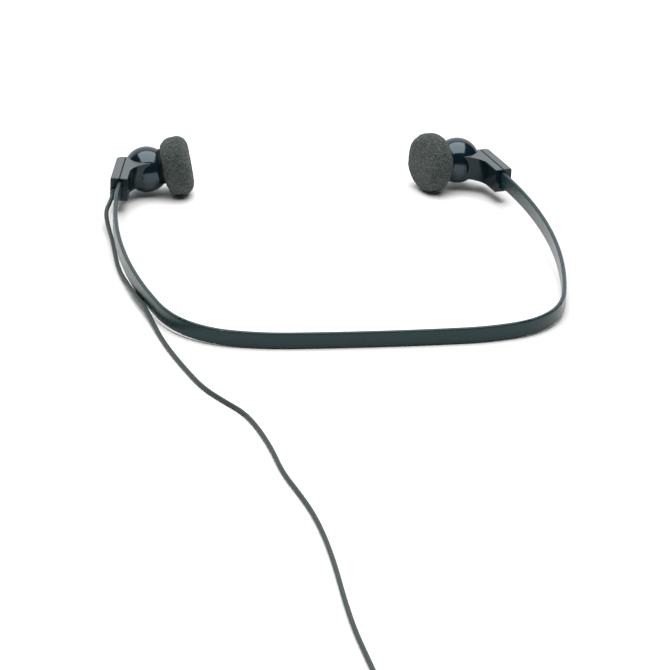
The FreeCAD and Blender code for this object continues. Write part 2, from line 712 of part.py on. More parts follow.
# ------------------------------------------------------------------ cord
def cord_tube(name, route):
    """Round cord along straight runs joined by tangent arcs; prints each arc's radius."""
    points = [Vector(*p) for p in route]
    edges = []
    here = points[0]
    radii = []
    for before, corner, after in zip(points, points[1:], points[2:]):
        back, ahead = before - corner, after - corner
        turn = math.pi - back.getAngle(ahead)
        reach = 0.45 * min(back.Length, ahead.Length)
        radii.append(reach / math.tan(turn / 2))
        back.normalize()
        ahead.normalize()
        enter, leave = corner + back * reach, corner + ahead * reach
        bulge = back + ahead
        bulge.normalize()
        centre = corner + bulge * (radii[-1] / math.cos(turn / 2))
        middle = centre - bulge * radii[-1]
        edges.append(Part.LineSegment(here, enter).toShape())
        edges.append(Part.Arc(enter, middle, leave).toShape())
        here = leave
    edges.append(Part.LineSegment(here, points[-1]).toShape())
    spine = Part.Wire(edges)
    start = points[1] - points[0]
    ring = Part.Wire(Part.makeCircle(SIZES["cord_radius"], points[0], start))
    tube = spine.makePipeShell([ring], True, False)
    cord = doc.addObject("Part::Feature", name)
    cord.Label = name
    cord.Shape = tube
    plain = math.pi * SIZES["cord_radius"] ** 2 * spine.Length
    print(name, "length", round(spine.Length, 1), "radii", [round(r, 1) for r in radii],
          "volume ratio", round(tube.Volume / plain, 4))
    return cord


cord = cord_tube("cord_lead", CORD_ROUTE)
tail = cord_tube("cord_tail", TAIL_ROUTE)

grommet = new_body("cord_grommet", REST.multiply(block_frame(-1)))
grommet.Placement = grommet.Placement.multiply(
    Placement(Vector(0, CORD_HOLE[0], CORD_HOLE[1]), Rotation(Vector(0, 0, 1), Vector(1, 0, 0))))
turned(grommet, "sleeve", [(0, "-grommet_out"), (0.95, "-grommet_out"), ("grommet_radius", -1.2),
                           ("grommet_radius", "grommet_in"), (0, "grommet_in")])

coil_frame = Placement(Vector(COIL_CENTRE[0], COIL_CENTRE[1], TIE_THICK), Rotation())
coil = new_body("cord_coil", coil_frame)
inner, outer, top = COIL_RING - COIL_WIDE, COIL_RING + COIL_WIDE, 2 * COIL_HIGH
turned(coil, "ring", [(inner + 1.2, 0), (outer - 1.2, 0), (outer, 1.6), (outer, top - 1.6),
                      (outer - 1.2, top), (inner + 1.2, top), (inner, top - 1.6), (inner, 1.6)])

tie_corner = Vector(COIL_CENTRE[0] - 2.0, COIL_CENTRE[1] + COIL_RING - COIL_WIDE - TIE_THICK, 0)
tie_out = primitive("Box", "tie_outside", Placement(tie_corner, Rotation()),
                    Length=4.0, Width=2 * (COIL_WIDE + TIE_THICK), Height=top + 2 * TIE_THICK)
tie_hole = primitive("Cylinder", "tie_coil", coil_frame, Radius=outer + 0.02, Height=top)
tie_core = primitive("Cylinder", "tie_core", coil_frame, Radius=inner - 0.02, Height=top)
tie_ring = removed("tie_ring", tie_hole, [tie_core])
tie = removed("coil_tie", tie_out, [tie_ring], Placement())
nodes += [grommet, cord, tail, coil, tie]

# ------------------------------------------------------------------ plug
plug_angle = Rotation(Vector(0, 0, 1), PLUG_HEADING)
plug_start = Vector(*TAIL_ROUTE[-1])
plug_axis = plug_angle.multVec(Vector(1, 0, 0))
PLUG_FRAME = Placement(plug_start, Rotation(Vector(0, 0, 1), plug_axis))
RELIEF = 7.0
GRIP_END = RELIEF + SIZES["grip_length"]
SLEEVE_END = GRIP_END + SIZES["sleeve_length"]

relief = new_body("plug_relief", PLUG_FRAME)
turned(relief, "boot", [(0, 0), (1.1, 0), (1.9, RELIEF), (0, RELIEF)])
grip = new_body("plug_grip", PLUG_FRAME)
turned(grip, "grip", [(0, RELIEF), (2.9, RELIEF), ("grip_radius", RELIEF + 1.2),
                      ("grip_radius", GRIP_END - 1.0), (3.2, GRIP_END), (0, GRIP_END)])
sleeve = new_body("plug_sleeve", PLUG_FRAME)
turned(sleeve, "sleeve", [(0, GRIP_END), (2.6, GRIP_END), (2.6, GRIP_END + 0.6),
                          ("contact_radius", GRIP_END + 0.6), ("contact_radius", SLEEVE_END), (0, SLEEVE_END)])
contacts = [("plug_insulator_rear", SLEEVE_END, 0.6), ("plug_ring", SLEEVE_END + 0.6, 2.2),
            ("plug_insulator_front", SLEEVE_END + 2.8, 0.6)]
plug_bodies = []
for label, start, length in contacts:
    contact = new_body(label, PLUG_FRAME)
    turned(contact, "disc", [(0, start), ("contact_radius", start), ("contact_radius", start + length),
                             (0, start + length)])
    plug_bodies.append(contact)
TIP = SLEEVE_END + 3.4
tip = new_body("plug_tip", PLUG_FRAME)
turned(tip, "tip", [(0, TIP), ("contact_radius", TIP), (1.25, TIP + 0.9), (1.25, TIP + 1.3),
                    (1.7, TIP + 2.1), (1.2, TIP + 3.2), (0.4, TIP + 3.7), (0, TIP + 3.7)])
nodes += [relief, grip, sleeve, tip] + plug_bodies

doc.recompute()
faults = []
for thing in doc.Objects:
    if any(word in thing.State for word in ("Invalid", "Error")):
        faults.append(f"{thing.Label}: {thing.State}")
for node in nodes:
    if node.Shape.isNull() or not node.Shape.isValid() or not node.Shape.Solids:
        faults.append(f"{node.Label}: bad shape")
if faults:
    raise RuntimeError("; ".join(faults))

os.makedirs("parts", exist_ok=True)
for node in nodes:
    node.Shape.exportStep(f"parts/{node.Label}.step")
    box = node.Shape.BoundBox
    print(node.Label, len(node.Shape.Solids), round(node.Shape.Volume, 2),
          [round(v, 2) for v in (box.XMin, box.XMax, box.YMin, box.YMax, box.ZMin, box.ZMax)])
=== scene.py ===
"""Looks of the under-chin radio headphones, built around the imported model.

Places handed to Blender are metres in the CAD's frame.  Outlines and sizes marked mm are turned into metres by MM.
"""
import json
import math

import bmesh
import bpy
from mathutils import Matrix, Vector, noise


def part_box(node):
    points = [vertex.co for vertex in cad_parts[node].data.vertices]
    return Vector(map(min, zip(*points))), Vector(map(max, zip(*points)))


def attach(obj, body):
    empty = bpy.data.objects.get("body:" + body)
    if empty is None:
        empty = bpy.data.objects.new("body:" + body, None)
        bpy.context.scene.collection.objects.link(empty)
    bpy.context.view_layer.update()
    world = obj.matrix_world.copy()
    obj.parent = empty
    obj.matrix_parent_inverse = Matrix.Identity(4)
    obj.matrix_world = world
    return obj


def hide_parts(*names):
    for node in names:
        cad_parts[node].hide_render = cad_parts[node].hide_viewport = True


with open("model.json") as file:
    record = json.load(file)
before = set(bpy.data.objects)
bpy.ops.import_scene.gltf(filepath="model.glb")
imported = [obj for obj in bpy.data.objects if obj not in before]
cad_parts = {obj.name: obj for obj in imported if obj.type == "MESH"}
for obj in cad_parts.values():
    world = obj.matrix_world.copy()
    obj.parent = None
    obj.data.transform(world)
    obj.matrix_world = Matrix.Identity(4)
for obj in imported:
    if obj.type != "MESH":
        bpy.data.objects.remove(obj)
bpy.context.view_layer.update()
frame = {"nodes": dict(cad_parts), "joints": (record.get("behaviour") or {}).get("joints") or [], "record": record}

NODES = frame["nodes"]
JOINTS = {joint["name"]: joint for joint in frame["joints"]}
MOUNTS = {mount["name"]: mount for mount in frame["record"]["mounts"]}
SIDES = ("left", "right")
MM = 0.001
PER_MM = 1000.0
SCENE = bpy.context.scene

CAMERA_PLACE = (-0.24404, -1.35441, 0.51348)
CAMERA_TARGET = (-0.01326, -0.07683, 0.00303)
CAMERA_ROLL = 2.094             # degrees
LENS_MM, SENSOR_MM = 230.0, 36.0
FAR_CLIP = 50.0
FLOOR_HALF = 5.0
SOFTBOX_PLACE, SOFTBOX_TARGET = (0.0, 0.04, 1.0), (0, 0.04, 0)
SOFTBOX_SIDE, SOFTBOX_POWER = 1.30, 23.0
SOFTBOX_COLOUR = (1.0, 0.985, 0.97)


# ------------------------------------------------------------------ camera, floor and light
def make_camera():
    place, target = Vector(CAMERA_PLACE), Vector(CAMERA_TARGET)
    data = bpy.data.cameras.new("camera")
    data.lens = LENS_MM
    data.sensor_width = SENSOR_MM
    data.clip_end = FAR_CLIP
    camera = bpy.data.objects.new("camera", data)
    level = (target - place).to_track_quat("-Z", "Y").to_matrix().to_4x4()
    roll = Matrix.Rotation(math.radians(CAMERA_ROLL), 4, "Z")
    camera.matrix_world = Matrix.Translation(place) @ level @ roll
    SCENE.collection.objects.link(camera)
    SCENE.camera = camera


def make_floor():
    mesh = bpy.data.meshes.new("floor")
    half = FLOOR_HALF
    corners = [(-half, -half, 0), (half, -half, 0), (half, half, 0), (-half, half, 0)]
    mesh.from_pydata(corners, [], [(0, 1, 2, 3)])
    floor = bpy.data.objects.new("floor", mesh)
    SCENE.collection.objects.link(floor)
    material = bpy.data.materials.new("floor_white")
    material.use_nodes = True
    shader = material.node_tree.nodes["Principled BSDF"]
    shader.inputs["Base Color"].default_value = (0.88, 0.885, 0.885, 1)
    shader.inputs["Roughness"].default_value = 0.75
    shader.inputs["Specular IOR Level"].default_value = 0.1
    mesh.materials.append(material)


def area_light(name, place, toward, side, power, colour):
    data = bpy.data.lights.new(name, "AREA")
    data.shape = "RECTANGLE"
    data.size = side
    data.size_y = side
    data.energy = power
    data.color = colour
    light = bpy.data.objects.new(name, data)
    light.location = place
    light.rotation_euler = (Vector(toward) - Vector(place)).to_track_quat("-Z", "Y").to_euler()
    light.visible_camera = False
    SCENE.collection.objects.link(light)


def make_world():
    """A white backdrop behind the table and a dark studio elsewhere.  The camera itself sees pale grey."""
    world = bpy.data.worlds.new("studio")
    world.use_nodes = True
    tree = world.node_tree
    graph = Graph(tree)
    background = tree.nodes["Background"]
    direction = tree.nodes.new("ShaderNodeTexCoord").outputs["Generated"]
    axes = graph.node("ShaderNodeSeparateXYZ", {"Vector": direction})
    dark_studio, backdrop, seen_directly = (0.02, 0.022, 0.024), (1.0, 1.03, 1.05), (0.9, 0.9, 0.9)
    drop = graph.ramp(axes.outputs["Y"], [(0.50, dark_studio), (0.66, backdrop)])
    sees = tree.nodes.new("ShaderNodeLightPath").outputs["Is Camera Ray"]
    colour = graph.mix(sees, drop, seen_directly)
    tree.links.new(colour, background.inputs["Color"])
    SCENE.world = world


# ------------------------------------------------------------------ shader graphs
class Graph:
    """Short names for the nodes that the materials below share."""

    def __init__(self, tree):
        self.tree = tree
        self.object_point = None

    def node(self, kind, inputs=None, **settings):
        made = self.tree.nodes.new(kind)
        for key, value in settings.items():
            setattr(made, key, value)
        for key, value in (inputs or {}).items():
            if isinstance(value, bpy.types.NodeSocket):
                self.tree.links.new(value, made.inputs[key])
            else:
                made.inputs[key].default_value = value
        return made

    def point(self):
        if self.object_point is None:
            self.object_point = self.tree.nodes.new("ShaderNodeTexCoord").outputs["Object"]
        return self.object_point

    def noise(self, size, detail=2.0, roughness=0.5, stretch=None):
        """Noise whose lumps are about size millimetres across, 0 to 1."""
        point = self.point()
        if stretch:
            point = self.node("ShaderNodeMapping", {"Vector": point, "Scale": stretch}).outputs["Vector"]
        inputs = {"Vector": point, "Scale": PER_MM / size, "Detail": detail, "Roughness": roughness}
        return self.node("ShaderNodeTexNoise", inputs).outputs["Fac"]

    def struts(self, size):
        """Distance from the walls between cells about size millimetres across."""
        inputs = {"Vector": self.point(), "Scale": PER_MM / size}
        return self.node("ShaderNodeTexVoronoi", inputs, feature="DISTANCE_TO_EDGE").outputs["Distance"]

    def ramp(self, value, stops):
        made = self.node("ShaderNodeValToRGB", {"Fac": value})
        elements = made.color_ramp.elements
        while len(elements) < len(stops):
            elements.new(0.5)
        for element, (position, colour) in zip(elements, stops):
            element.position = position
            element.color = (*colour, 1.0) if isinstance(colour, tuple) else (colour, colour, colour, 1.0)
        return made.outputs["Color"]

    def mix(self, share, first, second):
        """Colours or sockets first and second, blended by share."""
        made = self.node("ShaderNodeMix", data_type="RGBA")
        for socket, value in ((made.inputs[0], share), (made.inputs[6], first), (made.inputs[7], second)):
            if isinstance(value, bpy.types.NodeSocket):
                self.tree.links.new(value, socket)
            elif isinstance(value, tuple):
                socket.default_value = (*value, 1.0)
            else:
                socket.default_value = value
        return made.outputs[2]

    def sum(self, first, second, operation="ADD"):
        return self.node("ShaderNodeMath", {0: first, 1: second}, operation=operation).outputs[0]

    def bump(self, height, distance, strength=1.0):
        """Relief from a height of 0 to 1, distance in mm."""
        inputs = {"Height": height, "Distance": distance * MM, "Strength": strength}
        return self.node("ShaderNodeBump", inputs).outputs["Normal"]

    def edges(self, radius):
        """1 along edges sharper than a radius in millimetres, 0 on plain faces."""
        soft = self.node("ShaderNodeBevel", {"Radius": radius * MM}, samples=4).outputs["Normal"]
        true = self.tree.nodes.new("ShaderNodeNewGeometry").outputs["Normal"]
        same = self.node("ShaderNodeVectorMath", {0: soft, 1: true}, operation="DOT_PRODUCT").outputs["Value"]
        return self.ramp(same, [(0.90, 1.0), (0.995, 0.0)])


def material(name, **constants):
    """A new principled material, its plain values, and the graph to build its detail with."""
    made = bpy.data.materials.new(name)
    made.use_nodes = True
    shader = made.node_tree.nodes["Principled BSDF"]
    for key, value in constants.items():
        socket = shader.inputs[key.replace("_", " ")]
        socket.default_value = (*value, 1.0) if isinstance(value, tuple) else value
    return made, shader, Graph(made.node_tree)


RUBBED_RADIUS, RUBBED_SHARE = 0.25, 0.45      # edges rounder than this many mm stay unrubbed
DULL_SHARE = 0.82                             # of a metal's colour, in its stains


def plastic(name, dark, light, rough, grain, depth, specular=0.5, edge=None, sheen=(1.0, 1.0, 1.0)):
    """Moulded plastic: cloudy colour, roughness that varies with handling, fine moulded grain and rubbed edges.

    Rough is its lowest and highest roughness, grain and depth the size and relief of the grain in mm.
    """
    made, shader, graph = material(name, Specular_IOR_Level=specular, Specular_Tint=sheen)
    cloud = graph.noise(9.0, detail=3.0)
    fine = graph.noise(grain)
    colour = graph.mix(cloud, dark, light)
    colour = graph.mix(graph.ramp(fine, [(0.35, 0.0), (0.75, 0.35)]), colour, light)
    if edge:
        colour = graph.mix(graph.sum(graph.edges(RUBBED_RADIUS), RUBBED_SHARE, "MULTIPLY"), colour, edge)
    handled = graph.noise(4.0, detail=4.0, roughness=0.65)
    low, high = rough
    graph.tree.links.new(colour, shader.inputs["Base Color"])
    graph.tree.links.new(graph.ramp(handled, [(0.3, low), (0.7, high)]), shader.inputs["Roughness"])
    graph.tree.links.new(graph.bump(fine, depth), shader.inputs["Normal"])
    return made


SEAM_NORMAL, SEAM_PLACE = (0.9732, 0.2300), 78.88   # seam planes: |x| and y against this distance in mm
SEAM_HALF_WIDTH, SEAM_FADE = 0.20, 0.30             # mm each side of the plane
# Painted shade: near black and rough along the seam, for the shade down in its groove.
SEAM_SHADE_COLOUR, SEAM_ROUGH = (0.001, 0.002, 0.002), (0.9, 0.9, 0.9)
# Upward faces are made lighter: dust mottling, and a painted sheen standing in for the backdrop's reflection on top
# faces.
TOP_DUST_AND_SHEEN_DARK, TOP_DUST_AND_SHEEN_LIGHT = (0.058, 0.074, 0.076), (0.082, 0.098, 0.098)
TOP_SHEEN_FROM, TOP_SHEEN_FULL = 0.80, 0.96                   # upward part of a face's normal


def block_look():
    """The block's plastic: lighter on top with dust and a painted sheen, and dark with painted shade down in the
    groove where its two halves meet.
    """
    made = plastic("block_plastic", (0.001, 0.006, 0.009), (0.003, 0.010, 0.013), rough=(0.14, 0.22), grain=0.22,
                   depth=0.004, specular=0.34, edge=(0.05, 0.06, 0.065), sheen=(0.78, 0.94, 1.0))
    shader = made.node_tree.nodes["Principled BSDF"]
    graph = Graph(made.node_tree)
    axes = graph.node("ShaderNodeSeparateXYZ", {"Vector": graph.point()}).outputs
    across = graph.sum(graph.sum(axes["X"], 0.0, "ABSOLUTE"), SEAM_NORMAL[0], "MULTIPLY")
    across = graph.sum(across, graph.sum(axes["Y"], SEAM_NORMAL[1], "MULTIPLY"))
    off_seam = graph.sum(graph.sum(across, SEAM_PLACE * MM, "SUBTRACT"), 0.0, "ABSOLUTE")
    seam_shade = graph.ramp(graph.sum(off_seam, PER_MM, "MULTIPLY"), [(SEAM_HALF_WIDTH, 1.0), (SEAM_FADE, 0.0)])
    colour = shader.inputs["Base Color"].links[0].from_socket
    rough = shader.inputs["Roughness"].links[0].from_socket
    normal = graph.tree.nodes.new("ShaderNodeNewGeometry").outputs["Normal"]
    upward = graph.node("ShaderNodeSeparateXYZ", {"Vector": normal}).outputs["Z"]
    # Painted sheen with dust: the more a face points up, the lighter and more mottled it is painted.
    dust = graph.mix(graph.noise(1.6, detail=4.0, roughness=0.7), TOP_DUST_AND_SHEEN_DARK, TOP_DUST_AND_SHEEN_LIGHT)
    colour = graph.mix(graph.ramp(upward, [(TOP_SHEEN_FROM, 0.0), (TOP_SHEEN_FULL, 1.0)]), colour, dust)
    # Painted shade down in the seam's groove, in colour and in roughness.
    graph.tree.links.new(graph.mix(seam_shade, colour, SEAM_SHADE_COLOUR), shader.inputs["Base Color"])
    graph.tree.links.new(graph.mix(seam_shade, rough, SEAM_ROUGH), shader.inputs["Roughness"])
    return made


def metal(name, colour, rough, brush):
    """Plated or rolled metal with fine scratches along one way and slight stains."""
    made, shader, graph = material(name, Metallic=1.0)
    scratch = graph.noise(0.12, detail=3.0, roughness=0.6, stretch=brush)
    stain = graph.noise(2.5, detail=3.0)
    dull = tuple(c * DULL_SHARE for c in colour)
    low, high = rough
    graph.tree.links.new(graph.mix(stain, dull, colour), shader.inputs["Base Color"])
    graph.tree.links.new(graph.ramp(scratch, [(0.3, low), (0.7, high)]), shader.inputs["Roughness"])
    graph.tree.links.new(graph.bump(scratch, 0.01), shader.inputs["Normal"])
    return made


# The pore colour is painted shade: near black for the shade inside the open cells.
FOAM_STRUT, FOAM_PORE_SHADE = (0.080, 0.098, 0.090), (0.014, 0.026, 0.027)
FOAM_SPECK, FOAM_GRIT, FOAM_SHADE = (0.125, 0.152, 0.143), (0.20, 0.22, 0.200), (0.024, 0.036, 0.035)
FOAM_RELIEF = 0.30        # mm


def foam_material():
    """Open-cell foam: dusty struts round pores painted dark for the shade inside the cells, seen as a salt-and-pepper
    speckle.
    """
    made, shader, graph = material("foam", Specular_IOR_Level=0.2, Sheen_Weight=0.12, Sheen_Roughness=0.5)
    strut = graph.struts(0.75)
    speck = graph.noise(0.85, detail=3.0, roughness=0.8)
    grit = graph.noise(0.45, roughness=0.7)
    patch = graph.noise(7.0, detail=3.0, roughness=0.6)
    # Painted shade: dark in the pores between the struts.
    colour = graph.ramp(strut, [(0.02, FOAM_STRUT), (0.26, FOAM_PORE_SHADE)])
    colour = graph.mix(graph.ramp(speck, [(0.50, 0.0), (0.63, 0.75)]), colour, FOAM_SPECK)
    colour = graph.mix(graph.ramp(grit, [(0.56, 0.0), (0.66, 0.55)]), colour, FOAM_GRIT)
    colour = graph.mix(graph.ramp(patch, [(0.3, 0.0), (0.7, 0.4)]), colour, FOAM_SHADE)
    height = graph.sum(graph.ramp(strut, [(0.0, 1.0), (0.3, 0.0)]), speck)
    graph.tree.links.new(colour, shader.inputs["Base Color"])
    graph.tree.links.new(graph.ramp(speck, [(0.3, 0.98), (0.8, 0.8)]), shader.inputs["Roughness"])
    graph.tree.links.new(graph.bump(height, FOAM_RELIEF), shader.inputs["Normal"])
    return made


def cord_material(name, dark, light):
    """Matt PVC jacket, a little dusty, with faint extrusion ripples."""
    made, shader, graph = material(name, Specular_IOR_Level=0.28)
    dust = graph.noise(1.1, detail=4.0, roughness=0.7)
    ripple = graph.noise(0.5)
    graph.tree.links.new(graph.mix(dust, dark, light), shader.inputs["Base Color"])
    graph.tree.links.new(graph.ramp(dust, [(0.3, 0.38), (0.7, 0.6)]), shader.inputs["Roughness"])
    graph.tree.links.new(graph.bump(ripple, 0.05, strength=0.6), shader.inputs["Normal"])
    return made


def dress(made, *names):
    """Give CAD nodes a material."""
    for name in names:
        slots = NODES[name].data.materials
        slots.clear()
        slots.append(made)


def pair(*names):
    return [f"{name}_{side}" for name in names for side in SIDES]


# ------------------------------------------------------------------ mesh helpers
def add_object(name, mesh, made):
    mesh.materials.append(made)
    for face in mesh.polygons:
        face.use_smooth = True
    piece = bpy.data.objects.new(name, mesh)
    SCENE.collection.objects.link(piece)
    return piece


ON_AXIS = 1e-6            # mm
BEND_STEPS = 8            # runs in each rounded corner of an outline
MAX_REACH = 0.49          # of a side, taken up by the rounding at one end


def lathe(name, outline, frame_matrix, steps, made, displace=None):
    """Closed surface of revolution about the frame's Z axis.

    The outline runs from axis to axis as (radius, height) in mm.  Displace gives a move in mm for a point in mm and
    its normal.
    """
    bm = bmesh.new()
    rings = []
    for radius, height in outline:
        if radius < ON_AXIS:
            rings.append([bm.verts.new((0, 0, height * MM))])
            continue
        ring = []
        for i in range(steps):
            angle = math.tau * i / steps
            x, y = radius * MM * math.cos(angle), radius * MM * math.sin(angle)
            ring.append(bm.verts.new((x, y, height * MM)))
        rings.append(ring)
    for lower, upper in zip(rings, rings[1:]):
        for i in range(steps):
            j = (i + 1) % steps
            corners = [lower[i % len(lower)], lower[j % len(lower)], upper[j % len(upper)], upper[i % len(upper)]]
            bm.faces.new(list(dict.fromkeys(corners)))
    bmesh.ops.recalc_face_normals(bm, faces=bm.faces)
    if displace:
        bm.normal_update()
        moves = [(v, displace(v.co / MM, v.normal) * MM) for v in bm.verts]
        for v, move in moves:
            v.co += move
    mesh = bpy.data.meshes.new(name)
    bm.to_mesh(mesh)
    bm.free()
    mesh.transform(frame_matrix)
    return add_object(name, mesh, made)


def smooth_outline(corners, step):
    """Points about a step apart along a smooth line through (x, y, rounding) corners."""
    points = [Vector(c[:2]) for c in corners]
    line = [points[0]]
    for before, corner, after, (_, _, rounding) in zip(points, points[1:], points[2:], corners[1:-1]):
        back, ahead = before - corner, after - corner
        reach = min(rounding, MAX_REACH * back.length, MAX_REACH * ahead.length)
        enter = corner + back.normalized() * reach
        leave = corner + ahead.normalized() * reach
        for i in range(BEND_STEPS + 1):
            t = i / BEND_STEPS
            line.append(enter * (1 - t) ** 2 + corner * 2 * t * (1 - t) + leave * t * t)
    line.append(points[-1])
    total = sum((b - a).length for a, b in zip(line, line[1:]))
    count = max(2, round(total / step))
    dense, walked, index = [line[0]], 0.0, 0
    for k in range(1, count):
        goal = total * k / count
        while walked + (line[index + 1] - line[index]).length < goal:
            walked += (line[index + 1] - line[index]).length
            index += 1
        run = line[index + 1] - line[index]
        dense.append(line[index] + run * ((goal - walked) / run.length))
    dense.append(line[-1])
    return [(p.x, p.y) for p in dense]


def frame_from(origin, z_axis, x_axis):
    """Matrix of a frame at origin with its Z along z_axis and its X as near x_axis as it can be."""
    z = Vector(z_axis).normalized()
    x = (Vector(x_axis) - z * z.dot(Vector(x_axis))).normalized()
    turn = Matrix((x, z.cross(x), z)).transposed().to_4x4()
    return Matrix.Translation(Vector(origin)) @ turn


# ------------------------------------------------------------------ cord
CORD_DIAMETER = 0.0015
CORD_POINTS = [  # from the left block's end face along the cord solid's route, then into the coil
    (-0.07117, 0.05027, 0.00789), (-0.0726, 0.0442, 0.0076), (-0.0751, 0.0384, 0.00584), (-0.0751, 0.0316, 0.0032),
    (-0.0749, 0.0203, 0.0022), (-0.0751, 0.01, 0.0011), (-0.0756, -0.0012, 0.0008), (-0.0754, -0.0125, 0.0012),
    (-0.0745, -0.0237, 0.0019), (-0.0736, -0.034, 0.0026), (-0.0719, -0.045, 0.0028), (-0.0706, -0.0558, 0.0014),
    (-0.0695, -0.0677, 0.0008), (-0.0678, -0.0816, 0.0008), (-0.0645, -0.0996, 0.0008), (-0.0615, -0.1131, 0.0008),
    (-0.0567, -0.1239, 0.0008), (-0.0517, -0.1338, 0.0008), (-0.0491, -0.1461, 0.0008), (-0.0473, -0.1633, 0.0008),
    (-0.0468, -0.1815, 0.0008), (-0.0445, -0.1962, 0.0008), (-0.0425, -0.2115, 0.0008), (-0.0417, -0.2287, 0.0008),
    (-0.042, -0.2494, 0.0008), (-0.0431, -0.2711, 0.0008), (-0.0437, -0.2927, 0.0008), (-0.0431, -0.3135, 0.0008),
    (-0.0425, -0.3324, 0.0008), (-0.0426, -0.3454, 0.0008),
]
TAIL_POINTS = [  # from the coil down to the table and up into the plug
    (-0.0199, -0.3637, 0.0034), (-0.0153, -0.3602, 0.0016), (-0.0101, -0.35665, 0.0024), (-0.0051, -0.35474, 0.00392),
]
COIL_LAYERS = 4
COIL_START, COIL_END = 165.0, 302.0      # where the cord joins and leaves the coil, in degrees round it
COIL_STEPS = 15                          # points a turn
COIL_TURNS = 19 + (COIL_END - COIL_START) / 360.0    # 19 whole turns and the rest of one
COIL_MIDDLE, COIL_SPAN = 8.8, 7.5        # mm: radius of the middle turn, and from the inner turn to the outer
COIL_FLOOR, COIL_RISE = 0.8, 1.53        # mm: height of the lowest layer, and from one layer to the next
COIL_CLIMB = 0.16                        # turns taken to climb onto the next layer
TIE_LIFT, TIE_SPREAD = 0.40, 38.0        # mm the turns rise over the tie, and over how many degrees
CURVE_STEPS, BEVEL_STEPS = 5, 3
PLUG_ENTRY = 3.5                         # mm from the relief solid's middle back to where the cord enters


def coil_points():
    """Turns wound spirally in and out, layer on layer, lifted where the tie passes under them."""
    low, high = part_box("cord_coil")
    centre = (low + high) / 2
    widen = 1 / math.cos(math.pi / COIL_STEPS)
    per_layer = COIL_TURNS / COIL_LAYERS
    count = round(COIL_TURNS * COIL_STEPS)
    points = []
    for i in range(count + 1):
        turn = COIL_TURNS * i / count
        layer = min(int(turn / per_layer), COIL_LAYERS - 1)
        share = turn / per_layer - layer
        inward = share if layer % 2 == 0 else 1 - share
        radius = COIL_MIDDLE + COIL_SPAN * (0.5 - inward)
        climb = min(1.0, share * per_layer / COIL_CLIMB) if layer else 1.0
        height = COIL_FLOOR + COIL_RISE * (layer - 1 + climb * climb * (3 - 2 * climb))
        angle = math.radians(COIL_START + 360 * turn)
        to_tie = math.degrees(math.acos(math.cos(angle - math.pi / 2)))
        height += TIE_LIFT * math.exp(-((to_tie / TIE_SPREAD) ** 2))
        x, y = radius * widen * math.cos(angle) * MM, radius * widen * math.sin(angle) * MM
        points.append(centre.xy.to_3d() + Vector((x, y, height * MM)))
    return points


def make_cord(made):
    plug_start, _ = plug_frame()
    lead, tail = [Vector(p) for p in CORD_POINTS], [Vector(p) for p in TAIL_POINTS]
    route = lead + coil_points() + tail + [plug_start]
    curve = bpy.data.curves.new("cord", "CURVE")
    curve.dimensions = "3D"
    curve.resolution_u = CURVE_STEPS
    curve.bevel_depth = CORD_DIAMETER / 2
    curve.bevel_resolution = BEVEL_STEPS
    curve.use_fill_caps = True
    spline = curve.splines.new("NURBS")
    spline.points.add(len(route) - 1)
    for point, place in zip(spline.points, route):
        point.co = (*place, 1.0)
    spline.order_u = 3
    spline.use_endpoint_u = True
    curve.materials.append(made)
    cord = bpy.data.objects.new("cord", curve)
    SCENE.collection.objects.link(cord)
    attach(cord, "band")
    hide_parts("cord_lead", "cord_coil", "cord_tail")
    return cord


def plug_frame():
    """Where the cord enters the plug, and the frame along the plug's axis there."""
    mount = MOUNTS["jack_plug"]
    axis = Vector(mount["axis"])
    low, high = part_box("plug_relief")
    mid = (low + high) / 2
    start = Vector(mount["pos_m"])
    start -= axis * (start - mid).dot(axis)
    start -= axis * PLUG_ENTRY * MM
    return start, frame_from(start, axis, (0, 0, 1))


# ------------------------------------------------------------------ plug and tie
BOOT_RIBS, RIB_PITCH = 5, 1.3
FIRST_RIB, RIB_GROWTH = 1.15, 0.16            # mm: radius of the rib next to the cord, and what each adds
FLUTES, FLUTE_DEPTH = 18, 0.22
FLUTED_FROM, FLUTED_TO = 9.6, 21.4            # mm along the handle
FLUTE_CORE = 3.0                              # mm: inside this radius the flutes fade out


def on_cord(piece, replaced):
    """Every piece on the cord rides with the band, as the cord does."""
    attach(piece, "band")
    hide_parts(replaced)


def make_boot(matrix, made):
    """Ribbed bend relief behind the plug's handle."""
    corners = [(0.0, 0.0, 0), (0.95, 0.0, 0.1)]
    for rib in range(BOOT_RIBS):
        radius, start = FIRST_RIB + RIB_GROWTH * rib, 0.2 + RIB_PITCH * rib
        corners += [(radius, start, 0.15), (radius + 0.05, start + 0.8, 0.15), (radius - 0.25, start + 0.9, 0.1),
                    (radius - 0.22, start + 1.2, 0.1)]
    corners += [(1.9, 6.7, 0.2), (1.9, 7.0, 0.1), (0.0, 7.0, 0)]
    on_cord(lathe("plug_boot", smooth_outline(corners, 0.12), matrix, 48, made), "plug_relief")


def make_handle(matrix, made):
    """Plug handle with shallow lengthwise flutes to hold it by."""
    def flutes(point, normal):
        along = min(1.0, max(0.0, min(point.z - FLUTED_FROM, FLUTED_TO - point.z)))
        ripple = 0.5 + 0.5 * math.cos(FLUTES * math.atan2(point.y, point.x))
        return normal * (-FLUTE_DEPTH * ripple * along * min(1.0, math.hypot(point.x, point.y) / FLUTE_CORE))

    corners = [(0.0, 7.0, 0), (2.85, 7.0, 0.3), (3.85, 8.2, 0.6), (3.9, 12.0, 1.0), (3.9, 22.6, 0.6),
               (3.55, 23.2, 0.3), (3.3, 24.0, 0.3), (0.0, 24.0, 0)]
    handle = lathe("plug_handle", smooth_outline(corners, 0.35), matrix, 12 * FLUTES, made, flutes)
    on_cord(handle, "plug_grip")


STRAP_THICK, STRAP_CORNER, STRAP_EDGE = 0.4, 1.3, 0.12    # mm
STRAP_STEPS = 8                                           # runs in each rounded corner


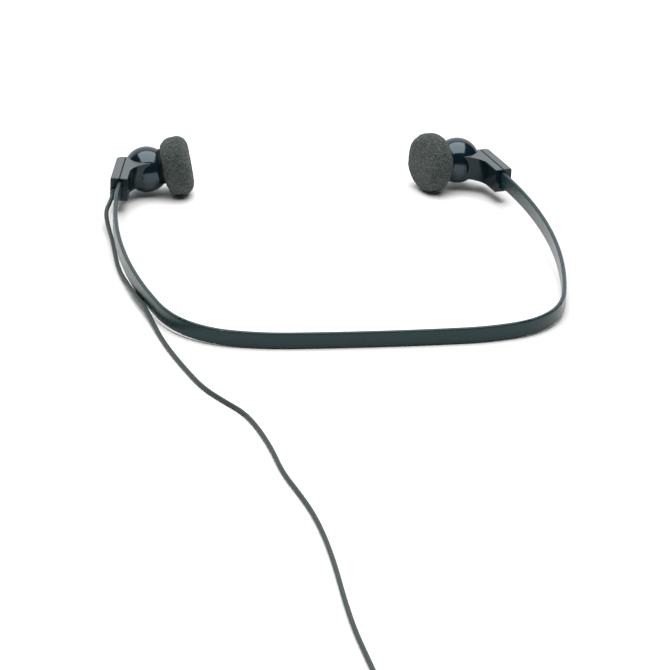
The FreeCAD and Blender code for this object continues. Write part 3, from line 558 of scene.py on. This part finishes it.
def make_strap(made):
    """Flat strap drawn round the wound cord, its corners rounded by the turns under it."""
    low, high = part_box("coil_tie")
    middle = (low + high) / 2
    thick, corner, edge = STRAP_THICK * MM, STRAP_CORNER * MM, STRAP_EDGE * MM
    half_y, half_z = (high.y - low.y) / 2 - thick / 2, (high.z - low.z) / 2 - thick / 2
    loop = []
    for quarter, (sy, sz) in enumerate(((1, 1), (-1, 1), (-1, -1), (1, -1))):
        turning = middle + Vector((0, sy * (half_y - corner), sz * (half_z - corner)))
        for step in range(STRAP_STEPS + 1):
            angle = math.radians(90 * (quarter + step / STRAP_STEPS))
            out = Vector((0, math.cos(angle), math.sin(angle)))
            loop.append((turning + out * corner, out))
    half_wide, half = (high.x - low.x) / 2, thick / 2
    profile = [(-half_wide + edge, -half), (half_wide - edge, -half), (half_wide, -half + edge),
               (half_wide, half - edge), (half_wide - edge, half), (-half_wide + edge, half),
               (-half_wide, half - edge), (-half_wide, -half + edge)]
    bm = bmesh.new()
    rings = [[bm.verts.new(place + Vector((x, 0, 0)) + out * rise) for x, rise in profile] for place, out in loop]
    for first, second in zip(rings, rings[1:] + rings[:1]):
        for i in range(len(profile)):
            j = (i + 1) % len(profile)
            bm.faces.new((first[i], first[j], second[j], second[i]))
    bmesh.ops.recalc_face_normals(bm, faces=bm.faces)
    mesh = bpy.data.meshes.new("coil_strap")
    bm.to_mesh(mesh)
    bm.free()
    on_cord(add_object("coil_strap", mesh, made), "coil_tie")


# ------------------------------------------------------------------ foam pads
def ear_matrix(side):
    """Frame at the capsule's centre: Z out of the ear side of the pad, X along the swivel pin."""
    mount = MOUNTS[f"ear_face_{side}"]
    joint = JOINTS[f"capsule_swivel_{side}"]
    return frame_from(joint["pos_m"], mount["axis"], joint["axis"])


# All in mm.  Heights run along the driver's axis from the capsule's centre.
PAD_RADIUS, PAD_BACK, PAD_FRONT = 10.46, 6.3, 15.9
PAD_DROP = {"left": 0.7, "right": -0.2}  # how far each pad hangs below its driver's axis
ROUND_BACK, ROUND_FRONT, CROWN = 3.8, 3.5, 0.24
BLEND = 0.4                              # rounding at each point along the two lips
PAD_STEPS, PAD_GRID = 260, 0.22          # points round the pad, and from one to the next across it
POCKET_MOUTH = [(0.0, 7.86, 0), (7.25, 7.86, 0.5), (7.46, 7.2, 0.3), (7.5, 6.5, 0.3)]
POCKET_REACH = (7.8, 8.0)                # radius and height inside which the foam stays smooth
CENTRED_TO, CENTRED_FADE = 9.0, 1.2      # radius out to which the foam leans onto the driver's axis, and the fade
CENTRED_HEIGHT = 10.0                    # and the height up to which it does
SKIN = ((4.6, 0.24), (1.1, 0.12), (0.5, 0.09))    # size and height of the lumps, pits and cells
PAD_SEED = {"left": 11.0, "right": 29.0}


def pad_outline():
    """Radius and height, mm, from the driver's face round the rear lip to the crowned ear side."""
    points = list(POCKET_MOUTH)
    for degrees in range(10, 91, 10):
        angle = math.radians(degrees)
        radius = PAD_RADIUS - ROUND_BACK * (1 - math.sin(angle))
        points.append((radius, PAD_BACK + ROUND_BACK * (1 - math.cos(angle)), BLEND))
    front = PAD_FRONT - CROWN
    for degrees in range(0, 91, 10):
        angle = math.radians(degrees)
        radius = PAD_RADIUS - ROUND_FRONT * (1 - math.cos(angle))
        points.append((radius, front - ROUND_FRONT * (1 - math.sin(angle)), BLEND))
    points += [(4.5, PAD_FRONT - 0.09, 2.0), (0.0, PAD_FRONT, 0)]
    return smooth_outline(points, PAD_GRID)


def foam_skin(seed, drop):
    """Uneven skin of cut foam, in mm, kept off the driver inside the pocket, which stays on the driver's axis."""
    offset = Vector((seed, seed * 0.7, -seed))

    def shift(point, normal):
        radius = math.hypot(point.x, point.y)
        near = min(1.0, max(0.0, (CENTRED_TO - radius) / CENTRED_FADE)) if point.z < CENTRED_HEIGHT else 0.0
        centred = Vector((drop * near, 0, 0))
        if radius < POCKET_REACH[0] and point.z < POCKET_REACH[1]:
            return centred
        return centred + normal * sum(noise.noise((point + offset) / size) * height for size, height in SKIN)

    return shift


def make_pad(side, made):
    drop = PAD_DROP[side]
    matrix = ear_matrix(side) @ Matrix.Translation((-drop * MM, 0, 0))
    pad = lathe(f"foam_{side}", pad_outline(), matrix, PAD_STEPS, made, foam_skin(PAD_SEED[side], drop))
    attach(pad, f"ear_{side}")
    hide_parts(f"foam_pad_{side}")


# ------------------------------------------------------------------ everything in place
make_camera()
make_floor()
make_world()
area_light("softbox", SOFTBOX_PLACE, SOFTBOX_TARGET, SOFTBOX_SIDE, SOFTBOX_POWER, SOFTBOX_COLOUR)

jacket = cord_material("cord_jacket", (0.014, 0.026, 0.023), (0.040, 0.056, 0.049))
cover = plastic("strip_cover", (0.008, 0.025, 0.028), (0.014, 0.034, 0.037), rough=(0.24, 0.32), grain=0.30,
                depth=0.006, specular=0.30, edge=(0.07, 0.09, 0.09), sheen=(0.86, 1.0, 1.0))
block = block_look()
capsule = plastic("capsule_plastic", (0.002, 0.009, 0.015), (0.004, 0.014, 0.022), rough=(0.11, 0.17), grain=0.8,
                  depth=0.002, specular=0.66, edge=(0.02, 0.03, 0.04), sheen=(0.78, 0.93, 1.0))
ring_look = plastic("neck_plastic", (0.002, 0.003, 0.004), (0.004, 0.006, 0.007), rough=(0.5, 0.7), grain=0.3,
                    depth=0.004, specular=0.15)
nylon = plastic("stem_plastic", (0.012, 0.012, 0.013), (0.024, 0.024, 0.026), rough=(0.35, 0.5), grain=0.2,
                depth=0.01)
basket = plastic("driver_plastic", (0.016, 0.016, 0.016), (0.030, 0.030, 0.030), rough=(0.4, 0.55), grain=0.2,
                 depth=0.01)
film = plastic("diaphragm_film", (0.50, 0.47, 0.36), (0.66, 0.63, 0.5), rough=(0.15, 0.25), grain=0.5, depth=0.01)
tie_look = plastic("tie_plastic", (0.010, 0.010, 0.011), (0.022, 0.022, 0.024), rough=(0.3, 0.45), grain=0.2,
                   depth=0.01)
grip_look = plastic("grip_plastic", (0.010, 0.011, 0.012), (0.020, 0.022, 0.024), rough=(0.3, 0.42), grain=0.2,
                    depth=0.012, specular=0.4, edge=(0.06, 0.065, 0.065))
insulator = plastic("insulator", (0.008, 0.008, 0.008), (0.016, 0.016, 0.016), rough=(0.3, 0.45), grain=0.15,
                    depth=0.004)
steel = metal("spring_steel", (0.55, 0.56, 0.58), rough=(0.22, 0.40), brush=(1.0, 1.0, 9.0))
driver_steel = metal("driver_steel", (0.60, 0.60, 0.62), rough=(0.25, 0.42), brush=(1.0, 6.0, 1.0))
contact = metal("contact_metal", (0.80, 0.79, 0.76), rough=(0.10, 0.22), brush=(5.0, 1.0, 1.0))
copper = metal("copper_lead", (0.72, 0.40, 0.22), rough=(0.25, 0.40), brush=(1.0, 1.0, 4.0))
foam = foam_material()

dress(cover, "band_cover")
dress(block, *pair("housing_outer", "housing_inner"))
dress(capsule, *pair("capsule_upper", "capsule_lower"))
dress(nylon, *pair("swivel_stem"))
dress(basket, *pair("driver_frame"))
dress(film, *pair("driver_diaphragm"))
dress(steel, "band_spring", *pair("anchor_pin", "pivot_pin"))
dress(driver_steel, *pair("driver_yoke", "driver_magnet", "driver_pole_plate", "driver_grille"))
dress(ring_look, *pair("neck_ring"))
dress(copper, "crossover_wire")
dress(contact, "plug_sleeve", "plug_ring", "plug_tip")
dress(insulator, "plug_insulator_rear", "plug_insulator_front")
dress(jacket, "cord_grommet")

cord = make_cord(jacket)
_, plug_matrix = plug_frame()
make_boot(plug_matrix, jacket)
make_handle(plug_matrix, grip_look)
make_strap(tie_look)
for side in SIDES:
    make_pad(side, foam)

SCENE.view_settings.view_transform = "Standard"
